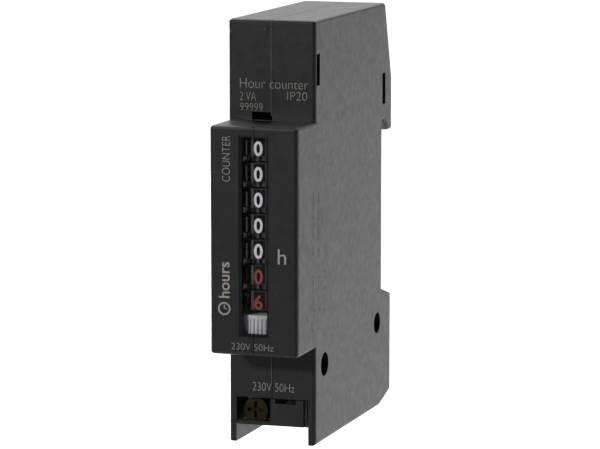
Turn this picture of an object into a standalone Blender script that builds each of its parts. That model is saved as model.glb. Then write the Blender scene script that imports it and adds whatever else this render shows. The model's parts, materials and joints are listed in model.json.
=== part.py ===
"""Hours-run meter for a 35 mm rail, one module wide, as separate pieces.

X runs across the module, Y from the front to the rail, Z up. Lengths are in millimetres and
are turned into metres at the end. The origin is the middle of the rail seat.
"""

import math

import bmesh
import bpy
from mathutils import Matrix, Vector

MM = 0.001
COLLECTION = "hours_run_meter"

# The frame: where the rail seat's middle lies, measured from the block's bottom front edge
SEAT_Y = 45.25
RAIL_MIDDLE_Z = 42.5
PAD_PROUD = 0.02

# Housing
WIDTH = 18.0
HALF = WIDTH / 2
SEAM_GAP = 0.12
WALL = 1.5
SIDE_IN = HALF - WALL
TOP_Z = 84.4
NOSE_Y = -11.25
NOSE_LOW, NOSE_HIGH = 19.55, 64.55
NOSE_SHELF = 1.2
EDGE_R = 0.6
HOOK_Y = 52.1
FOOT_Y = 51.8
LEDGE_Z = 24.75
HOOK_Z = 57.6
HOOK_TIP_Y = 50.0
NOTCH_Y, NOTCH_Z = 46.5, 60.1
HOOK_TOP_Z = 68.7
TOP_BACK_Y = 47.5
FOOT_TOP_Z = 22.9
FOOT_CUT_Y, FOOT_CUT_Z = 44.0, 2.1
CAVITY_FLOOR_Z = 10.6

# The flat plate on the right shell that rests on the rail's front
PAD_X = (-3.5, 1.5)
PAD_Z = (30.0, 55.0)

# Window
WINDOW_X = 2.6
WINDOW_LOW, WINDOW_HIGH = 23.8, 62.4
WINDOW_CHAMFER = 0.5
LENS_GAP = 0.2
LENS_Y = (NOSE_Y + 0.65, NOSE_Y + 1.25)

# Counter
AXLE_Y = -3.7
AXLE_R = 0.8
DRUMS = 7
DRUM_PITCH = 5.04
DRUM_TOP_Z = 60.0
DRUM_IN_R = 4.6
DRUM_SIDES = 10
FACET_UP, FACET_DOWN = 2.2, 1.5
DRUM_GEAR_TALL = 1.0
RUN = 0.08
COUNTER_MODULE = 0.407
DRUM_TEETH, TRANSFER_TEETH = 20, 8
TRANSFER_ANGLE = math.radians(215)
TRANSFER_AXLE_R = 0.5
FOOT_OF_TRANSFER_AXLE_Z = 30.5

# Running wheel
RUN_WHEEL_R = 5.7
RUN_WHEEL_RIBS = 44
RUN_WHEEL_LOW, RUN_WHEEL_HIGH = 23.0, 27.3

# Gear train
TRAIN_MODULE = 0.25
PINION_TEETH, WHEEL_TEETH, IDLER_TEETH, RUN_TEETH = 10, 30, 24, 40
ARBOR_R = 0.4
GEAR_TALL = 0.8
LEVEL_C, LEVEL_B, LEVEL_A = 21.9, 23.4, 24.9
SHEET = 0.6
PLATE_LOW_Z, PLATE_HIGH_Z = 21.0, 27.9
FRAME_X = 6.9
FRAME_TOP_Z = 62.5
IDLER_Y = AXLE_Y + TRAIN_MODULE * (RUN_TEETH + IDLER_TEETH) / 2
SECOND_Y = IDLER_Y + TRAIN_MODULE * (IDLER_TEETH + PINION_TEETH) / 2
FIRST_Y = SECOND_Y + TRAIN_MODULE * (WHEEL_TEETH + PINION_TEETH) / 2
MOTOR_Y = FIRST_Y + TRAIN_MODULE * (WHEEL_TEETH + PINION_TEETH) / 2

# Motor
SHAFT_R, SHAFT_Z = 0.5, (24.3, 39.0)
PRESS_GAP = 0.06
ROTOR_PINION_Z = (24.5, 26.4)
MAGNET_R, MAGNET_Z = 2.5, (30.4, 38.4)
CUP_R, CUP_WALL, CUP_Z = 7.0, 0.5, (28.9, 40.0)
SPOOL_R, SPOOL_HOLE_R, SPOOL_Z = 6.2, 3.7, (30.3, 39.1)
SPOOL_CORE_R, SPOOL_FLANGE = 4.1, 0.7
WINDING_R, WINDING_HOLE_R, WINDING_Z = 5.9, 4.4, (31.3, 38.1)
POLE_Z = (29.2, 29.8)
CLAWS, CLAW_HALF, CLAW_R, CLAW_TOP_Z = 6, 0.8, (2.85, 3.3), 37.6

# Terminals
TERMINAL_X, TERMINAL_Z = 4.0, 6.3
CHAMBER_TOP = 9.1
CHAMBER_BACK = 23.0
HEAD_R, SHANK_R = 2.5, 1.4
HEAD_Y, SHANK_END_Y = (1.6, 3.2), 7.0
CAGE_HALF, CAGE_Y, CAGE_Z = 3.0, (5.9, 13.5), (4.0, 8.6)
CAGE_ROOM_HALF, CAGE_ROOM_Y = 2.3, (6.8, 12.6)
BAR_HALF, BAR_Y, BAR_Z = 1.8, (7.3, 8.1), (4.2, 11.5)
GUARD_HALF, GUARD_Y, GUARD_Z = 7.2, (0.35, 1.3), (3.5, 8.9)
LEAD_R = 0.4

GUARD_WEB_X, GUARD_WEB_Y, GUARD_WEB_Z = (-0.4, 0.4), (1.0, 15.0), (3.4, 8.7)
GUARD_SILL_Z = 4.3
GUARD_SLOT_X, GUARD_SLOT_Z = (0.55, 4.85), 8.0
GUARD_GROOVE_X, GUARD_GROOVE_DEEP = (6.4, 6.95), 0.5
WELL_FLOOR_X, WELL_FLOOR_Y, WELL_FLOOR_Z = (-7.2, -0.2), (1.0, 8.1), (3.35, 3.6)
BAR_SLOT_HALF, BAR_SLOT_Y, BAR_SLOT_Z = 2.1, (7.0, 8.4), (8.0, 11.5)
TERMINAL_RECESS_HALF, TERMINAL_RECESS_WIDE, TERMINAL_RECESS_Y = 1.7, 0.35, 2.4

# Lead wires: (x, y, z) from each contact bar up to the coil, on the right side
LEAD_PATH = (
    (TERMINAL_X, 8.9, 11.1), (TERMINAL_X, 11.5, 11.3), (5.6, 18.0, 14.0),
    (6.0, 27.4, 16.0), (5.0, 27.6, 26.0), (1.6, 26.8, 33.0),
)

# Rail latch
LATCH_HALF = 4.0
LATCH_CLEAR = 0.3
LATCH_Y, LATCH_BOTTOM_Z = (45.9, 49.9), 8.0
TOE_Y, TOE_Z = 46.5, (24.2, 26.4)
TAIL_X, TAIL_Y, TAIL_BOTTOM_Z = (-3.2, 0.4), (47.5, 49.5), -1.0
LATCH_ROOM_Y, LATCH_ROOM_Z = (45.6, 50.2), (3.2, 27.0)

# The latch's spring; its wire is thin enough for it to close by the latch's 1.8 mm of travel
SPRING_X, SPRING_Y, SPRING_Z = 2.5, 47.9, (3.6, 7.5)
SPRING_R, SPRING_WIRE_R = 1.2, 0.18
SPRING_TURNS, SPRING_STEPS = 5, 12

# Screws that hold the two shells together: (y, z, radius of the counterbore)
BOSSES = ((6.05, 15.5, 2.4), (41.8, 17.9, 2.2))
BOSS_WALL = 1.2
SCREW_R, SCREW_HOLE_R = 1.1, 1.4
SCREW_HEAD_R, SCREW_TIP_X, SCREW_HEAD_X = 1.95, -5.8, (4.8, 6.2)
SCREW_CROSS_HALF, SCREW_CROSS_WIDE, SCREW_CROSS_X = 1.2, 0.25, 5.4
BORE_ENDS = {-1: 6.6, 1: 12.0}

# Snap arms on the left shell: room above, below and beside each, and where arm and barb end
SNAP_ROOM, SNAP_SIDE, BARB_INSET = 0.35, 0.3, 0.2
SNAP_FRONT_GAP, SNAP_BACK_GAP = 1.05, 0.9
SNAP_ARM_X, BARB_X = 8.2, (7.75, 8.35)

# Opening above the nose at the seam, room for the seat pad, and the hole for the latch's tail
RECESS_X, RECESS_TOP_Z = (-4.1, 1.0), 66.2
SEAT_ROOM_X, SEAT_ROOM_GAP = (-3.8, 1.0), 0.3
TAIL_HOLE_X, TAIL_HOLE_Y, TAIL_HOLE_Z = (-3.5, 0.7), (47.2, 49.8), (-1.0, 4.0)

# Counter frame and gear plate
FRAME_Y, ARCH_X, ARCH_Y, ARCH_TOP_Z = (-8.8, 25.5), 6.0, (1.0, 3.0), 27.6
SPINE_Y, ROOF_FRONT_Y = (1.6, 2.2), -8.6
FLANGE_X, FLANGE_LOW_Z = (-7.2, -6.75), 30.6
LUG_X, LUG_Y, LUG_TOP_Z = (-7.2, -4.35), (-7.65, -6.3), 31.2
GEAR_PLATE_FRONT_Y, MOTOR_HOLE_R = 2.6, 0.6

# The hollow's back corners, (y, z), behind the hook
HOLLOW_BACK = ((48.6, 63.2), (50.3, 67.8))
HOLLOW_SEAT_TOP_Z, HOLLOW_TOP_Y = 61.4, 46.2
COUNTERBORE_X = 4.5

# Rectangular windows for the snap hooks: (y low, y high, z low, z high)
SNAPS = ((0.75, 2.8, 71.6, 77.8), (45.2, 47.3, 63.4, 69.9))


def clear_scene():
    for obj in list(bpy.data.objects):
        bpy.data.objects.remove(obj, do_unlink=True)


def collection(name):
    made = bpy.data.collections.new(name)
    bpy.context.scene.collection.children.link(made)
    return made


def material(name, colour, rough, metal=0.0, alpha=1.0):
    made = bpy.data.materials.new(name)
    made.use_nodes = True
    shader = made.node_tree.nodes["Principled BSDF"]
    shader.inputs["Base Color"].default_value = (*colour, 1.0)
    shader.inputs["Roughness"].default_value = rough
    shader.inputs["Metallic"].default_value = metal
    shader.inputs["Alpha"].default_value = alpha
    return made


def finish(bm, name, mat, helper=False):
    """The bmesh as an object in metres, in the frame of the rail seat."""
    bmesh.ops.recalc_face_normals(bm, faces=bm.faces)
    shift = Matrix.Translation((0, -SEAT_Y * MM, -RAIL_MIDDLE_Z * MM))
    bmesh.ops.transform(bm, matrix=shift @ Matrix.Scale(MM, 4), verts=bm.verts)
    mesh = bpy.data.meshes.new(name)
    bm.to_mesh(mesh)
    bm.free()
    obj = bpy.data.objects.new(name, mesh)
    if helper:
        HELPERS.objects.link(obj)
        obj.hide_render = True
        obj.display_type = "WIRE"
        return obj
    mesh.materials.append(mat)
    PARTS.objects.link(obj)
    return obj


def origin_at(obj, x, y, z):
    """Puts the object's origin on its joint axis and leaves the mesh where it is."""
    at = Vector((x, y - SEAT_Y, z - RAIL_MIDDLE_Z)) * MM
    obj.data.transform(Matrix.Translation(-at))
    obj.location = at


def box(bm, x, y, z):
    """Adds a box between the pairs of numbers x, y and z."""
    size = (x[1] - x[0], y[1] - y[0], z[1] - z[0])
    middle = Vector((sum(x) / 2, sum(y) / 2, sum(z) / 2))
    place = Matrix.Translation(middle) @ Matrix.Diagonal((*size, 1))
    return bmesh.ops.create_cube(bm, size=1.0, matrix=place)["verts"]


def rod(bm, radius, low, high, x=0.0, y=0.0, sides=32, axis="Z"):
    """Adds a cylinder from low to high along an axis that passes through (x, y) of the rest."""
    turn = {"Z": Matrix.Identity(4), "Y": Matrix.Rotation(-math.pi / 2, 4, "X"),
            "X": Matrix.Rotation(math.pi / 2, 4, "Y")}[axis]
    middle = (low + high) / 2
    at = {"Z": (x, y, middle), "Y": (x, middle, y), "X": (middle, x, y)}[axis]
    return bmesh.ops.create_cone(
        bm, cap_ends=True, segments=sides, radius1=radius, radius2=radius,
        depth=high - low, matrix=Matrix.Translation(at) @ turn)["verts"]


def outline_solid(bm, outline, low, high, axis="Z"):
    """Adds the closed outline, extruded from low to high along an axis."""
    spots = {"Z": lambda a, b: (a, b, low), "X": lambda a, b: (low, a, b)}[axis]
    lift = {"Z": (0, 0, high - low), "X": (high - low, 0, 0)}[axis]
    verts = [bm.verts.new(spots(a, b)) for a, b in outline]
    face = bm.faces.new(verts)
    grown = bmesh.ops.extrude_face_region(bm, geom=[face])
    top = [v for v in grown["geom"] if isinstance(v, bmesh.types.BMVert)]
    bmesh.ops.translate(bm, vec=lift, verts=top)
    return verts + top


def circle(radius, sides, x=0.0, y=0.0, phase=0.0):
    step = 2 * math.pi / sides
    return [(x + radius * math.cos(phase + i * step), y + radius * math.sin(phase + i * step))
            for i in range(sides)]


def gear_outline(teeth, module, phase, x, y):
    """Teeth with straight flanks and some backlash; phase is the angle of one tooth's middle."""
    pitch = 2 * math.pi / teeth
    tip, root = module * (teeth / 2 + 0.8), module * (teeth / 2 - 1.1)
    spots = []
    for i in range(teeth):
        middle = phase + i * pitch
        for radius, share in ((root, -0.29), (tip, -0.11), (tip, 0.11), (root, 0.29)):
            angle = middle + share * pitch
            spots.append((x + radius * math.cos(angle), y + radius * math.sin(angle)))
    return spots


def meshed_phase(teeth_a, phase_a, at_a, teeth_b, at_b):
    """The tooth angle of gear b at which a gap of it takes a tooth of gear a."""
    toward = math.atan2(at_b[1] - at_a[1], at_b[0] - at_a[0])
    return toward + math.pi + (math.pi - teeth_a * (phase_a - toward)) / teeth_b


def apply_cut(target, cutters, operation="DIFFERENCE"):
    for cutter in cutters:
        step = target.modifiers.new(cutter.name, "BOOLEAN")
        step.operation = operation
        step.solver = "EXACT"
        step.object = cutter
    return target


def cutter(name, build):
    bm = bmesh.new()
    build(bm)
    return finish(bm, name, None, helper=True)


def part(name, mat, build, origin=None):
    bm = bmesh.new()
    build(bm)
    obj = finish(bm, name, mat)
    if origin:
        origin_at(obj, *origin)
    return obj


def pull(bm, face, keep):
    """Extrudes a face in place and returns the new one; the old one goes unless it is kept."""
    grown = bmesh.ops.extrude_face_region(bm, geom=[face])["geom"]
    made = next(f for f in grown if isinstance(f, bmesh.types.BMFace))
    if not keep and face.is_valid:
        bmesh.ops.delete(bm, geom=[face], context="FACES_ONLY")
    return made


def loft(bm, rings):
    """Adds a solid through rectangles (y, x half, z low, z high), front to back."""
    y, half, low, high = rings[0]
    verts = [bm.verts.new((x, y, z)) for x, z in
             ((-half, low), (half, low), (half, high), (-half, high))]
    face = bm.faces.new(verts)
    for i, (y, half, low, high) in enumerate(rings[1:]):
        face = pull(bm, face, keep=i == 0)
        for v in face.verts:
            v.co = Vector((math.copysign(half, v.co.x), y,
                           low if v.co.z < (WINDOW_LOW + WINDOW_HIGH) / 2 else high))


# ---------------------------------------------------------------- housing

def shell_outline():
    """The side view, (y, z), from the bottom front corner round to the front again."""
    return [
        (0.0, 0.0), (FOOT_CUT_Y, 0.0), (FOOT_Y, FOOT_CUT_Z), (FOOT_Y, FOOT_TOP_Z),
        (SEAT_Y - PAD_PROUD, LEDGE_Z), (SEAT_Y - PAD_PROUD, NOTCH_Z), (NOTCH_Y, NOTCH_Z),
        (HOOK_TIP_Y, HOOK_Z), (HOOK_Y, HOOK_Z), (HOOK_Y, HOOK_TOP_Z),
        (TOP_BACK_Y, TOP_Z), (0.0, TOP_Z), (0.0, NOSE_HIGH), (NOSE_Y, NOSE_HIGH),
        (NOSE_Y, NOSE_LOW), (0.0, NOSE_LOW),
    ]


def shell_blank(name, side):
    """Half of the housing's outside, solid, with its outer edges rounded."""
    bm = bmesh.new()
    inner, outer = side * SEAM_GAP / 2, side * HALF
    outline_solid(bm, shell_outline(), inner, outer, axis="X")
    bmesh.ops.recalc_face_normals(bm, faces=bm.faces)
    rim = [e for e in bm.edges if all(abs(v.co.x - outer) < 1e-5 for v in e.verts)]
    fronts = ((0.0, TOP_Z), (NOSE_Y, NOSE_HIGH), (NOSE_Y, NOSE_LOW), (TOP_BACK_Y, TOP_Z))
    for e in bm.edges:
        a, b = e.verts
        if abs(a.co.x - b.co.x) > 1 and any(
                math.hypot(a.co.y - y, a.co.z - z) < 1e-4 for y, z in fronts):
            rim.append(e)
    bmesh.ops.bevel(bm, geom=rim, offset=EDGE_R, offset_type="OFFSET", segments=2,
                    profile=0.5, affect="EDGES", clamp_overlap=True)
    return finish(bm, name, PLASTIC)


def main_cavity(bm, side):
    """The hollow for the movement: the block's inside and, in front of it, the nose's."""
    edge = side * SIDE_IN
    start = -side * 1.0
    outline_solid(bm, [
        (WALL, CAVITY_FLOOR_Z), (SEAT_Y - WALL, CAVITY_FLOOR_Z),
        (SEAT_Y - WALL, HOLLOW_SEAT_TOP_Z), *HOLLOW_BACK,
        (HOLLOW_TOP_Y, TOP_Z - WALL), (WALL, TOP_Z - WALL),
        (WALL, NOSE_HIGH - NOSE_SHELF), (NOSE_Y + WALL, NOSE_HIGH - NOSE_SHELF),
        (NOSE_Y + WALL, NOSE_LOW + NOSE_SHELF), (WALL, NOSE_LOW + NOSE_SHELF),
    ], start, edge, axis="X")


def window_cutter(bm):
    c = WINDOW_CHAMFER
    loft(bm, [
        (NOSE_Y - 0.5, WINDOW_X + c + 0.5, WINDOW_LOW - c - 0.5, WINDOW_HIGH + c + 0.5),
        (NOSE_Y + c, WINDOW_X, WINDOW_LOW, WINDOW_HIGH),
        (NOSE_Y + WALL + 1.0, WINDOW_X, WINDOW_LOW, WINDOW_HIGH),
    ])


def both(side, low, high):
    """The pair (low, high) of x, mirrored to this side and in rising order."""
    return tuple(sorted((side * low, side * high)))


def build_shell(name, side):
    """One half: the blank, hollowed, with bosses, and then every opening cut through."""
    shell = shell_blank(name, side)
    hollow = cutter(name + "_hollow", lambda bm: main_cavity(bm, side))
    chamber = cutter(name + "_chamber", lambda bm: box(
        bm, both(side, -1.0, SIDE_IN), (-1.0, CHAMBER_BACK), (-1.5, CHAMBER_TOP)))
    latch_room = cutter(name + "_latch_room", lambda bm: box(
        bm, both(side, -1.0, LATCH_HALF + LATCH_CLEAR), LATCH_ROOM_Y, LATCH_ROOM_Z))
    window = cutter(name + "_window", window_cutter)
    apply_cut(shell, [hollow])
    apply_cut(shell, boss_helpers(name, side), "UNION")
    cuts = [chamber, latch_room, window, bar_slot(name, side)] + boss_bores(name, side)
    cuts.append(cutter(name + "_tail_hole", lambda bm: box(
        bm, TAIL_HOLE_X, TAIL_HOLE_Y, TAIL_HOLE_Z)))
    apply_cut(shell, cuts)
    return shell


def boss_helpers(name, side):
    made = []
    for i, (y, z, bore) in enumerate(BOSSES):
        low, high = both(side, SEAM_GAP / 2 + 0.1, SIDE_IN + 0.6)
        made.append(cutter(f"{name}_boss_{i}", lambda bm: rod(
            bm, bore + BOSS_WALL, low, high, y, z, sides=28, axis="X")))
    return made


def boss_bores(name, side):
    made = []
    for i, (y, z, bore) in enumerate(BOSSES):
        low, high = both(side, -1.0, BORE_ENDS[side])
        made.append(cutter(f"{name}_bore_{i}", lambda bm: rod(
            bm, SCREW_HOLE_R, low, high, y, z, sides=20, axis="X")))
        if side > 0:
            made.append(cutter(f"{name}_counterbore_{i}", lambda bm: rod(
                bm, bore, COUNTERBORE_X, BORE_ENDS[side], y, z, sides=32, axis="X")))
    return made


def bar_slot(name, side):
    x = both(side, TERMINAL_X - BAR_SLOT_HALF, TERMINAL_X + BAR_SLOT_HALF)
    return cutter(name + "_bar_slot", lambda bm: box(bm, x, BAR_SLOT_Y, BAR_SLOT_Z))


def left_shell():
    """Adds the two snap arms, opens the slot above the nose and makes room for the seat pad."""
    shell = build_shell("housing_left", -1)
    arms = []
    for i, (y0, y1, z0, z1) in enumerate(SNAPS):
        low, high = z0 + SNAP_ROOM, z1 - SNAP_ROOM
        if i == 0:
            arm = (y0 + SNAP_FRONT_GAP, y1 - SNAP_SIDE)
            barb = (y0 + SNAP_SIDE, arm[1] - BARB_INSET)
        else:
            arm = (y0 + SNAP_SIDE, y1 - SNAP_BACK_GAP)
            barb = (arm[0] + BARB_INSET, y1 - SNAP_SIDE)
        arms.append(cutter(f"snap_arm_{i}", lambda bm: box(
            bm, (-SIDE_IN - 0.8, SNAP_ARM_X), arm, (low, high))))
        arms.append(cutter(f"snap_barb_{i}", lambda bm: box(
            bm, BARB_X, barb, (low + BARB_INSET, high - BARB_INSET))))
    apply_cut(shell, arms, "UNION")
    recess = cutter("nose_recess", lambda bm: box(
        bm, RECESS_X, (-1.0, WALL + 0.5), (NOSE_HIGH + 0.1, RECESS_TOP_Z)))
    seat_room = cutter("seat_room", lambda bm: box(
        bm, SEAT_ROOM_X, (SEAT_Y - WALL - 1.0, SEAT_Y + 1.0),
        (PAD_Z[0] - SEAT_ROOM_GAP, PAD_Z[1] + SEAT_ROOM_GAP)))
    return apply_cut(shell, [recess, seat_room])


def right_shell():
    """Adds the seat pad that reaches over the seam, and cuts the two snap windows."""
    shell = build_shell("housing_right", 1)
    pad = cutter("seat_pad", lambda bm: box(
        bm, PAD_X, (SEAT_Y - WALL + 0.05, SEAT_Y), PAD_Z))
    apply_cut(shell, [pad], "UNION")
    windows = [cutter(f"snap_window_{i}", lambda bm: box(bm, (SIDE_IN - 1.0, 12.0), (y0, y1), (z0, z1)))
               for i, (y0, y1, z0, z1) in enumerate(SNAPS)]
    return apply_cut(shell, windows)


def housing():
    left_shell()
    right_shell()
    part("window_lens", LENS, lambda bm: box(
        bm, (-WINDOW_X + LENS_GAP, WINDOW_X - LENS_GAP), LENS_Y,
        (WINDOW_LOW + LENS_GAP, WINDOW_HIGH - LENS_GAP)))
    for i, (y, z, bore) in enumerate(BOSSES):
        screw = part(f"housing_screw_{i + 1}", ZINC, lambda bm: outline_lathe(
            bm, ((0.0, SCREW_TIP_X), (SCREW_R, SCREW_TIP_X), (SCREW_R, SCREW_HEAD_X[0]),
                 (SCREW_HEAD_R, SCREW_HEAD_X[0]), (SCREW_HEAD_R, SCREW_HEAD_X[1]),
                 (0.0, SCREW_HEAD_X[1])), y, z))
        slots = [cutter(f"housing_screw_{i + 1}_slot_{k}", lambda bm: box(
            bm, (SCREW_CROSS_X, SCREW_HEAD_X[1] + 0.8), (y - a, y + a), (z - b, z + b)))
            for k, (a, b) in enumerate(((SCREW_CROSS_HALF, SCREW_CROSS_WIDE),
                                        (SCREW_CROSS_WIDE, SCREW_CROSS_HALF)))]
        apply_cut(screw, slots)


def outline_lathe(bm, profile, y, z, steps=20):
    """Adds a turned solid on an axis along X through (y, z), from its profile (radius, x)."""
    verts = [bm.verts.new((x, y + r, z)) for r, x in profile]
    edges = [bm.edges.new(pair) for pair in zip(verts, verts[1:])]
    bmesh.ops.spin(bm, geom=verts + edges, cent=(0, y, z), axis=(1, 0, 0),
                   angle=2 * math.pi, steps=steps, use_merge=True)
    bmesh.ops.remove_doubles(bm, verts=bm.verts, dist=1e-5)


# ---------------------------------------------------------------- counter

def transfer_spot():
    reach = COUNTER_MODULE * (DRUM_TEETH + TRANSFER_TEETH) / 2
    return reach * math.cos(TRANSFER_ANGLE), AXLE_Y + reach * math.sin(TRANSFER_ANGLE)


def drum_middle(i):
    return DRUM_TOP_Z - i * DRUM_PITCH


def drum_blank(bm, i):
    """A ten-sided number ring."""
    z = drum_middle(i)
    corner = DRUM_IN_R / math.cos(math.pi / DRUM_SIDES)
    outline_solid(bm, circle(corner, DRUM_SIDES, 0, AXLE_Y, math.pi / 2 + math.pi / DRUM_SIDES),
                  z - FACET_DOWN, z + FACET_UP)


def drums():
    spot = transfer_spot()
    for i in range(DRUMS):
        z = drum_middle(i)
        drum = part(f"drum_{i + 1}", DRUM, lambda bm: drum_blank(bm, i), (0, AXLE_Y, z))
        if i < DRUMS - 1:
            ring = cutter(f"drum_{i + 1}_gear", lambda bm: outline_solid(
                bm, gear_outline(DRUM_TEETH, COUNTER_MODULE, TRANSFER_ANGLE, 0, AXLE_Y),
                z - FACET_DOWN - DRUM_GEAR_TALL, z - FACET_DOWN + 0.3))
        else:
            ring = cutter(f"drum_{i + 1}_hub", lambda bm: rod(
                bm, 3.2, z - FACET_DOWN - 0.5, z - FACET_DOWN + 0.3, 0, AXLE_Y, sides=20))
        apply_cut(drum, [ring], "UNION")
        bore = cutter(f"drum_{i + 1}_bore", lambda bm: rod(
            bm, AXLE_R + RUN, z - 4, z + 4, 0, AXLE_Y, sides=24))
        apply_cut(drum, [bore])
    low_gap = DRUM_PITCH - FACET_UP - FACET_DOWN
    phase = meshed_phase(DRUM_TEETH, TRANSFER_ANGLE, (0, AXLE_Y), TRANSFER_TEETH, spot)
    for i in range(DRUMS - 1):
        high = drum_middle(i) - FACET_DOWN - 0.3
        low = high - (low_gap - 0.6)
        pinion = part(f"transfer_pinion_{i + 1}", PALE_PLASTIC, lambda bm: outline_solid(
            bm, gear_outline(TRANSFER_TEETH, COUNTER_MODULE, phase, *spot), low, high),
            (*spot, low))
        apply_cut(pinion, [cutter(f"transfer_bore_{i + 1}", lambda bm: rod(
            bm, TRANSFER_AXLE_R + RUN, low - 1, high + 1, *spot, sides=16))])
    part("drum_axle", STEEL, lambda bm: rod(
        bm, AXLE_R, PLATE_LOW_Z - 0.1, FRAME_TOP_Z + SHEET + 0.1, 0, AXLE_Y, sides=24))
    part("transfer_axle", STEEL, lambda bm: rod(
        bm, TRANSFER_AXLE_R, FOOT_OF_TRANSFER_AXLE_Z, FRAME_TOP_Z + SHEET + 0.1, *spot, sides=16))


def ribbed_outline():
    """A ring of narrow ribs with flat tops and a groove between each pair."""
    pitch = 2 * math.pi / RUN_WHEEL_RIBS
    spots = []
    for i in range(RUN_WHEEL_RIBS):
        for radius, share in ((RUN_WHEEL_R - 0.3, -0.30), (RUN_WHEEL_R, -0.18),
                              (RUN_WHEEL_R, 0.18), (RUN_WHEEL_R - 0.3, 0.30)):
            angle = (i + share) * pitch
            spots.append((radius * math.cos(angle), AXLE_Y + radius * math.sin(angle)))
    return spots


def running_wheel():
    wheel = part("running_wheel", WHITE, lambda bm: outline_solid(
        bm, ribbed_outline(), RUN_WHEEL_LOW, RUN_WHEEL_HIGH - 0.6), (0, AXLE_Y, LEVEL_C))
    rim = cutter("running_wheel_rim", lambda bm: rod(
        bm, RUN_WHEEL_R - 0.02, RUN_WHEEL_HIGH - 0.75, RUN_WHEEL_HIGH, 0, AXLE_Y, sides=44))
    neck = cutter("running_wheel_neck", lambda bm: rod(
        bm, 2.4, LEVEL_C + 0.2, RUN_WHEEL_LOW + 0.5, 0, AXLE_Y, sides=20))
    gear = cutter("running_wheel_gear", lambda bm: outline_solid(
        bm, gear_outline(RUN_TEETH, TRAIN_MODULE, math.pi / 2, 0, AXLE_Y),
        LEVEL_C, LEVEL_C + GEAR_TALL))
    bore = cutter("running_wheel_bore", lambda bm: rod(
        bm, AXLE_R + RUN, 20, 30, 0, AXLE_Y, sides=24))
    apply_cut(wheel, [rim, neck, gear], "UNION")
    apply_cut(wheel, [bore])


# ---------------------------------------------------------------- movement

def train_phases():
    """Tooth angles so that every pair in the train is in mesh at rest."""
    run = ((0, AXLE_Y), RUN_TEETH, math.pi / 2)
    idler = meshed_phase(run[1], run[2], run[0], IDLER_TEETH, (0, IDLER_Y))
    second = meshed_phase(IDLER_TEETH, idler, (0, IDLER_Y), PINION_TEETH, (0, SECOND_Y))
    first = meshed_phase(WHEEL_TEETH, 0.0, (0, SECOND_Y), PINION_TEETH, (0, FIRST_Y))
    rotor = meshed_phase(WHEEL_TEETH, 0.0, (0, FIRST_Y), PINION_TEETH, (0, MOTOR_Y))
    return idler, second, first, rotor


def train_gear(name, y, wheel, pinion, arbor, mat):
    """A wheel and a pinion on one arbor; each of them is (teeth, phase, low, high)."""
    teeth, phase, low, high = wheel
    gear = part(name, mat, lambda bm: outline_solid(
        bm, gear_outline(teeth, TRAIN_MODULE, phase, 0, y), low, high), (0, y, low))
    joined = [cutter(name + "_arbor", lambda bm: rod(bm, ARBOR_R, *arbor, 0, y, sides=14))]
    if pinion:
        count, turn, bottom, top = pinion
        joined.append(cutter(name + "_pinion", lambda bm: outline_solid(
            bm, gear_outline(count, TRAIN_MODULE, turn, 0, y), bottom, top)))
    apply_cut(gear, joined, "UNION")


def movement():
    idler, second, first, rotor = train_phases()
    arbor = (PLATE_LOW_Z + 0.1, PLATE_HIGH_Z + SHEET - 0.1)
    train_gear("idler_gear", IDLER_Y, (IDLER_TEETH, idler, LEVEL_C, LEVEL_C + GEAR_TALL),
               None, (arbor[0], LEVEL_C + GEAR_TALL + 0.3), PALE_PLASTIC)
    train_gear("second_gear", SECOND_Y, (WHEEL_TEETH, 0.0, LEVEL_B, LEVEL_B + GEAR_TALL),
               (PINION_TEETH, second, LEVEL_C, LEVEL_B + 0.2), arbor, PALE_PLASTIC)
    train_gear("first_gear", FIRST_Y, (WHEEL_TEETH, 0.0, LEVEL_A, LEVEL_A + GEAR_TALL),
               (PINION_TEETH, first, LEVEL_B - 0.4, LEVEL_A + 0.2), arbor, PALE_PLASTIC)
    part("rotor_shaft", STEEL, lambda bm: rod(bm, SHAFT_R, *SHAFT_Z, 0, MOTOR_Y, sides=16),
         (0, MOTOR_Y, SHAFT_Z[0]))
    pinion = part("rotor_pinion", BRASS, lambda bm: outline_solid(
        bm, gear_outline(PINION_TEETH, TRAIN_MODULE, rotor, 0, MOTOR_Y), *ROTOR_PINION_Z),
        (0, MOTOR_Y, ROTOR_PINION_Z[0]))
    apply_cut(pinion, [cutter("rotor_pinion_bore", lambda bm: rod(
        bm, SHAFT_R + PRESS_GAP, 24, 27, 0, MOTOR_Y, sides=16))])
    magnet = part("rotor_magnet", MAGNET, lambda bm: rod(
        bm, MAGNET_R, *MAGNET_Z, 0, MOTOR_Y, sides=24), (0, MOTOR_Y, MAGNET_Z[0]))
    apply_cut(magnet, [cutter("rotor_magnet_bore", lambda bm: rod(
        bm, SHAFT_R + PRESS_GAP, 30, 39, 0, MOTOR_Y, sides=16))])
    stator()
    frames()


def ring_part(name, mat, outer, inner, low, high, sides=32):
    ring = part(name, mat, lambda bm: rod(bm, outer, low, high, 0, MOTOR_Y, sides=sides))
    hole = cutter(name + "_hole", lambda bm: rod(
        bm, inner, low - 1, high + 1, 0, MOTOR_Y, sides=sides))
    return apply_cut(ring, [hole])


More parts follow.
